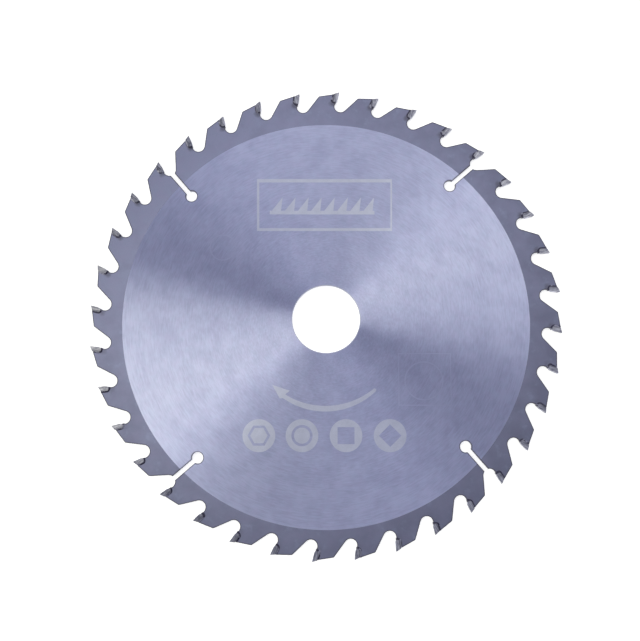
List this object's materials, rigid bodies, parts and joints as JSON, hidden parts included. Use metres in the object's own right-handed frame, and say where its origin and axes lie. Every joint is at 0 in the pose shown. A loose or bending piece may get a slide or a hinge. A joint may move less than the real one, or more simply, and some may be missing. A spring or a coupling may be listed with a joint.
{
  "type": "circular saw blade",
  "caption": "Thin flat steel disc with carbide-tipped teeth, a round arbor bore and keyhole expansion slots, for cutting wood.",
  "frame": {"origin": "centre of the arbor bore at the middle of the plate's thickness", "axes": "+Z along the arbor axis, out of the face with the etched marks; +Y towards the top of that face; the teeth cut clockwise seen from +Z"},
  "size_m": [0.2096, 0.2096, 0.0026],
  "materials": {
    "plate": "fine concentric grinding on the field, matte blasted rim with the teeth",
    "carbide": "ground tungsten carbide, satin",
    "braze": "dull silver braze, darkened by flux",
    "etched_mark": "matte light grey laser marking"
  },
  "bodies": {
    "root": {"blade_plate": "plate", "carbide_tip_01": "carbide", "carbide_tip_02": "carbide", "carbide_tip_03": "carbide", "carbide_tip_04": "carbide", "carbide_tip_05": "carbide", "carbide_tip_06": "carbide", "carbide_tip_07": "carbide", "carbide_tip_08": "carbide", "carbide_tip_09": "carbide", "carbide_tip_10": "carbide", "carbide_tip_11": "carbide", "carbide_tip_12": "carbide", "carbide_tip_13": "carbide", "carbide_tip_14": "carbide", "carbide_tip_15": "carbide", "carbide_tip_16": "carbide", "carbide_tip_17": "carbide", "carbide_tip_18": "carbide", "carbide_tip_19": "carbide", "carbide_tip_20": "carbide", "carbide_tip_21": "carbide", "carbide_tip_22": "carbide", "carbide_tip_23": "carbide", "carbide_tip_24": "carbide", "carbide_tip_25": "carbide", "carbide_tip_26": "carbide", "carbide_tip_27": "carbide", "carbide_tip_28": "carbide", "carbide_tip_29": "carbide", "carbide_tip_30": "carbide", "carbide_tip_31": "carbide", "carbide_tip_32": "carbide", "carbide_tip_33": "carbide", "carbide_tip_34": "carbide", "carbide_tip_35": "carbide", "carbide_tip_36": "carbide"}
  },
  "joints": []
}
